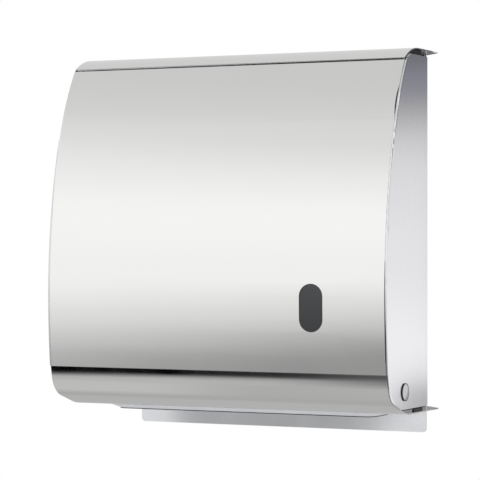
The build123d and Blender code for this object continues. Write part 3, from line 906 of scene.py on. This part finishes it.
@dataclass
class Cabinet(SubAssembly):
    """Fixed back, bin, cap, trough and the hardware on them. Lengths in millimetres."""

    body: Body = Body.CABINET
    finishes: dict[str, Slot] = field(default_factory=lambda: {
        "back_channel": Slot.MILL_STEEL,
        "top_cap": Slot.POLISHED_STEEL,
        "bottom_trough": Slot.POLISHED_STEEL,
        "throat_guard": Slot.GUARD_PLASTIC,
        "hinge_bosses": Slot.ZINC,
        "hinge_washers": Slot.NYLON,
        "right_hinge_pin": Slot.SATIN_STEEL,
        "left_hinge_pin": Slot.SATIN_STEEL,
        "hinge_seals": Slot.BLACK_RUBBER,
        "stop_studs": Slot.ZINC,
        "stop_sleeves": Slot.BLACK_RUBBER,
        "door_bumpers": Slot.BLACK_RUBBER,
        "lock_barrel": Slot.LOCK_NICKEL,
        "lock_nut": Slot.ZINC,
    })
    turned_nodes: tuple[str, ...] = ("right_hinge_pin", "left_hinge_pin")
    # grey felt under the return of the cap's lip, painted shade that sets the grey of the shaded seam
    # above the cover: half length, depths, heights and the round of its edges
    shade_felt_half: float = 132.6
    shade_felt_y: Pair = (-79.7, -71.0)
    shade_felt_z: Pair = (128.5, 129.3)
    shade_felt_round: float = 0.25
    # black rubber seal before the felt, painted shade along the seam that thickens to the right: depths,
    # foot and heights at its ends
    shade_seal_y: Pair = (-80.0, -79.6)
    shade_seal_z: float = 128.5
    shade_seal_heights: Pair = (0.01, 0.45)
    shade_seal_round: float = 0.05
    # black foam strips, painted shade under the sides of the cap above the cheeks, and painted dark
    # reflections on the ends of the floor, inside the cheeks
    cap_shade_foam_x: Pair = (126.0, 131.5)
    cap_shade_foam_y: Pair = (-66.0, -42.0)
    cap_shade_foam_z: Pair = (133.5, 137.1)
    floor_shade_foam_x: Pair = (131.6, 133.4)
    floor_shade_foam_y: Pair = (-62.0, -45.0)
    floor_shade_foam_z: Pair = (-122.1, -119.6)
    shade_foam_round: float = 0.6
    shade_foam_cuts: int = 9
    # where the underside of the cap starts to bend down, and the radius of that bend
    bend_from: float = -53.93
    bend_radius: float = 43.9
    # spot welds of the cap and the trough on the back; a weld's top is a share as wide as its foot
    weld_radius: float = 2.6
    weld_top: float = 0.7
    weld_sides: int = 32
    weld_rise: float = 0.12
    weld_face: float = -1.8
    weld_heights: Pair = (131.0, -116.0)
    weld_places: tuple[float, ...] = (-100.0, -60.0, -20.0, 20.0, 60.0, 100.0)
    # black bead round the lower edge of the throat, painted shade along the guard's edge: outline, middle,
    # width, chamfer and heights
    shade_bead_size: Pair = (209.4, 34.0)
    shade_bead_corner: float = 8.0
    shade_bead_steps: int = 10
    shade_bead_middle: float = -51.5
    shade_bead_width: float = 1.2
    shade_bead_chamfer: float = 0.3
    shade_bead_z: Pair = (-125.8, -126.4)

    def build(self, wardrobe: Wardrobe) -> None:
        """Add the black bead round the throat, the black foam strips, and the felt and seal in the seam
        above the cover, which paint shade and dark reflections into the gaps, and the spot welds.

        Args:
            wardrobe: The finishes.
        """
        # black foam pads on the ends of the floor: painted dark reflections in the corners of the trough
        floor_shade_foam = self.shade_foam_strips(self.floor_shade_foam_x, self.floor_shade_foam_y, self.floor_shade_foam_z)
        for name, shape, slot in (
                # black bead: painted shade along the lower edge of the throat
                ("throat_shade_bead", self.throat_shade_bead(), Slot.BLACK_RUBBER),
                # black foam: painted shade in the gap between the cheeks and the cap
                ("cap_shade_foam", self.cap_shade_foam(), Slot.BLACK_RUBBER),
                # black foam pads: painted dark reflections in the corners of the trough
                ("floor_shade_foam", floor_shade_foam, Slot.BLACK_RUBBER),
                # grey felt: painted shade that sets the tone of the seam above the cover
                ("seam_shade_felt", self.shade_felt_strip(), Slot.GUARD_PLASTIC),
                # black seal: painted shade line along the seam above the cover
                ("seam_shade_seal", self.seam_shade_seal(), Slot.BLACK_RUBBER),
                ("spot_welds", self.spot_welds(), Slot.MILL_STEEL)):
            self.add_piece(name, shape, slot, wardrobe)

    def shade_felt_strip(self) -> BMesh:
        """Make the grey strip that closes the seam above the cover, a painted shade that sets the tone of
        that shaded gap.

        Returns:
            Its mesh.
        """
        shape = bmesh.new()
        add_bar(shape, (-self.shade_felt_half, self.shade_felt_y[0], self.shade_felt_z[0]),
                (self.shade_felt_half, self.shade_felt_y[1], self.shade_felt_z[1]), self.shade_felt_round)
        return shape

    def seam_shade_seal(self) -> BMesh:
        """Make the tapered black seal before the felt, a painted shade line in the seam that darkens to
        the right.

        Returns:
            Its mesh.
        """
        shape = bmesh.new()
        slim, thick = self.shade_seal_heights
        add_bar(shape, (-self.shade_felt_half, self.shade_seal_y[0], self.shade_seal_z),
                (self.shade_felt_half, self.shade_seal_y[1], self.shade_seal_z + thick), self.shade_seal_round)
        for point in shape.verts:
            rightward = (point.co.x / MM / self.shade_felt_half + 1) / 2
            share = (slim + (thick - slim) * rightward) / thick
            point.co.z = self.shade_seal_z * MM + (point.co.z - self.shade_seal_z * MM) * share
        return shape

    def shade_foam_strips(self, sides: Pair, depths: Pair, heights: Pair) -> BMesh:
        """Make a pair of black foam strips, one inside each cheek, that paint shade and dark reflections
        into the gaps there.

        Args:
            sides: Inner and outer side of the right strip, in millimetres.
            depths: Where they start and end in depth, in millimetres.
            heights: Their lower and upper side, in millimetres.

        Returns:
            Their mesh.
        """
        shape = bmesh.new()
        inner, outer = sides
        for low, high in ((inner, outer), (-outer, -inner)):
            add_bar(shape, (low, depths[0], heights[0]), (high, depths[1], heights[1]), self.shade_foam_round)
        return shape

    def cap_shade_foam(self) -> BMesh:
        """Make the black foam strips under the cap, painted shade in the gap above the cheeks, with tops
        that follow its bend.

        Returns:
            Their mesh.
        """
        shape = self.shade_foam_strips(self.cap_shade_foam_x, self.cap_shade_foam_y, self.cap_shade_foam_z)
        half_length = (self.cap_shade_foam_y[1] - self.cap_shade_foam_y[0]) / 2 * MM
        long_edges = [edge for edge in shape.edges
                      if abs(edge.verts[0].co.y - edge.verts[1].co.y) > half_length]
        bmesh.ops.subdivide_edges(shape, edges=long_edges, cuts=self.shade_foam_cuts)
        low, high = (height * MM for height in self.cap_shade_foam_z)
        for point in shape.verts:
            ahead = max(0.0, self.bend_from - point.co.y / MM)
            droop = self.bend_radius - math.sqrt(self.bend_radius ** 2 - ahead ** 2)
            point.co.z -= droop * MM * (point.co.z - low) / (high - low)
        return shape

    def throat_shade_bead(self) -> BMesh:
        """Make the black bead on the lower edge of the throat, painted shade along the guard's edge: a
        rounded ring with its lower edges broken.

        Returns:
            Its mesh.
        """
        shape = bmesh.new()
        high, low = self.shade_bead_z
        bmesh.ops.create_grid(shape, x_segments=1, y_segments=1, size=0.5)
        bmesh.ops.scale(shape, vec=Vector((*self.shade_bead_size, 1.0)) * MM, verts=shape.verts)
        bmesh.ops.translate(shape, vec=Vector((0.0, self.shade_bead_middle, high)) * MM, verts=shape.verts)
        bmesh.ops.bevel(shape, geom=shape.verts[:], offset=self.shade_bead_corner * MM,
                        segments=self.shade_bead_steps, profile=0.5, affect="VERTICES", material=-1)
        inside = shape.faces[:]
        bmesh.ops.inset_region(shape, faces=inside, thickness=self.shade_bead_width * MM, use_boundary=True,
                               use_even_offset=True)
        bmesh.ops.delete(shape, geom=inside, context="FACES")
        bmesh.ops.solidify(shape, geom=shape.faces[:], thickness=(high - low) * MM)
        middle = (high + low) / 2 * MM
        rims = [edge for edge in shape.edges if edge.calc_face_angle() > SHARP_ANGLE
                and max(point.co.z for point in edge.verts) < middle]
        bmesh.ops.bevel(shape, geom=rims, offset=self.shade_bead_chamfer * MM, segments=1, profile=0.5,
                        affect="EDGES", material=-1)
        bmesh.ops.recalc_face_normals(shape, faces=shape.faces)
        return shape

    def spot_welds(self) -> BMesh:
        """Make the low round marks that spot welding leaves.

        Returns:
            Their mesh.
        """
        shape = bmesh.new()
        lie = Matrix.Rotation(math.pi / 2, 4, "X")
        for x in self.weld_places:
            for z in self.weld_heights:
                middle = Vector((x, self.weld_face - self.weld_rise / 2, z)) * MM
                bmesh.ops.create_cone(shape, cap_ends=True, segments=self.weld_sides,
                                      radius1=self.weld_radius * MM,
                                      radius2=self.weld_radius * self.weld_top * MM,
                                      depth=self.weld_rise * MM, matrix=Matrix.Translation(middle) @ lie)
        return shape


@dataclass
class Cover(SubAssembly):
    """Tilting cover: front sheet, cheeks, sight window and strike. Lengths in millimetres."""

    body: Body = Body.DOOR
    finishes: dict[str, Slot] = field(default_factory=lambda: {
        "front_door": Slot.POLISHED_STEEL,
        "right_cheek": Slot.SATIN_STEEL,
        "left_cheek": Slot.SATIN_STEEL,
        "hinge_bushes": Slot.NYLON,
        "sight_window": Slot.SMOKED_PANE,
        "window_retainer": Slot.BLACK_PLASTIC,
        "lock_strike": Slot.MILL_STEEL,
        "strike_rivets": Slot.ZINC,
    })
    # front line of the cover: depth, height of its most forward point, and radii below and above that
    depth: float = 119.7
    belly_height: float = -38.0
    low_radius: float = 554.0
    mid_radius: float = 416.0
    # ends of the front flanges, which run out along the cheeks' front edges: heights, inner side of the
    # cheek, width at the top and at the foot, setback, thickness, slope of the bend and steps
    end_z: Pair = (-90.0, -13.9)
    end_x: float = 134.25
    end_width: Pair = (0.6, 0.12)
    end_setback: float = 1.53
    end_thickness: float = 0.8
    end_slope: float = 0.38
    end_fade: float = 58.0
    end_cuts: int = 15
    # dull land along the deburred left edge of the front sheet: heights, left side, width, how far up it
    # narrows, rise over the sheet, thickness and steps
    land_z: Pair = (-92.6, 75.0)
    land_x: float = -134.2
    land_width: float = 1.4
    land_fade: float = 55.0
    land_rise: float = 0.03
    land_thickness: float = 0.3
    land_cuts: int = 47

    def build(self, wardrobe: Wardrobe) -> None:
        """Add the ends of the flanges and the land on the edge of the front sheet.

        Args:
            wardrobe: The finishes.
        """
        self.add_piece("flange_ends", self.flange_ends(), Slot.SATIN_STEEL, wardrobe)
        self.add_piece("edge_land", self.strip(self.land_z, self.land_cuts, self.land_corner),
                       Slot.MILL_STEEL, wardrobe)

    def front_line(self, height: float) -> float:
        """Find the place in depth of the cover's front at a height.

        Args:
            height: Height in millimetres.

        Returns:
            Its Y in millimetres.
        """
        radius = self.low_radius if height < self.belly_height else self.mid_radius
        return radius - self.depth - math.sqrt(radius ** 2 - (height - self.belly_height) ** 2)

    def strip(self, ends: Pair, cuts: int, corner: Callable[[float, Vector], Triple]) -> BMesh:
        """Make an upright strip in even steps.

        Args:
            ends: Heights of its foot and its top, in millimetres.
            cuts: Number of cuts between them.
            corner: Rule that places a corner, in millimetres, by its height and its side of the strip.

        Returns:
            Its mesh.
        """
        shape = bmesh.new()
        low, high = ends
        bmesh.ops.create_cube(shape, size=1.0)
        upright = [edge for edge in shape.edges if edge.verts[0].co.z * edge.verts[1].co.z < 0]
        bmesh.ops.subdivide_edges(shape, edges=upright, cuts=cuts)
        for point in shape.verts:
            height = low + (high - low) * (point.co.z + 0.5)
            point.co = Vector(corner(height, point.co)) * MM
        return shape

    def land_corner(self, height: float, side: Vector) -> Triple:
        """Place a corner of the land along the left edge of the front sheet.

        Args:
            height: Height of the corner, in millimetres.
            side: Its side of the strip.

        Returns:
            Its place in millimetres.
        """
        share = min(1.0, (self.land_z[1] - height) / self.land_fade)
        width = self.land_width * share if side.x > 0 else 0.0
        deep = self.land_thickness if side.y > 0 else -self.land_rise
        return self.land_x + width, self.front_line(height) + deep, height

    def end_corner(self, height: float, side: Vector) -> Triple:
        """Place a corner of the tapered end of the right front flange.

        Args:
            height: Height of the corner, in millimetres.
            side: Its side of the strip.

        Returns:
            Its place in millimetres.
        """
        wide, slim = self.end_width
        share = max(0.0, 1 - (self.end_z[1] - height) / self.end_fade)
        width = slim + (wide - slim) * share if side.x < 0 else 0.0
        deep = self.end_thickness if side.y > 0 else -self.end_slope * width
        return self.end_x - width, self.front_line(height) + self.end_setback + deep, height

    def flange_ends(self) -> BMesh:
        """Make the tapered ends of both front flanges.

        Returns:
            Their mesh.
        """
        shape = self.strip(self.end_z, self.end_cuts, self.end_corner)
        bmesh.ops.mirror(shape, geom=[*shape.verts, *shape.edges, *shape.faces], merge_dist=SAME_POINT,
                         axis="X")
        bmesh.ops.recalc_face_normals(shape, faces=shape.faces)
        return shape


@dataclass
class CamLock(SubAssembly):
    """Turning plug of the lock with its cam."""

    body: Body = Body.LOCK
    finishes: dict[str, Slot] = field(default_factory=lambda: {
        "lock_plug": Slot.LOCK_NICKEL,
        "lock_cam": Slot.ZINC,
        "cam_screw": Slot.ZINC,
    })


def main() -> None:
    """Load the frame and build the looks round it."""
    logging.basicConfig(level=logging.INFO, format="%(name)s: %(message)s")
    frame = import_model()
    wardrobe = Wardrobe()
    for part in (Cabinet(), Cover(), CamLock()):
        part.dress(frame["nodes"], wardrobe)
        part.build(wardrobe)
        LOG.info("%s: %d pieces", part.body.value, len(part.pieces))
    Studio().build()


if __name__ == "__main__":
    main()
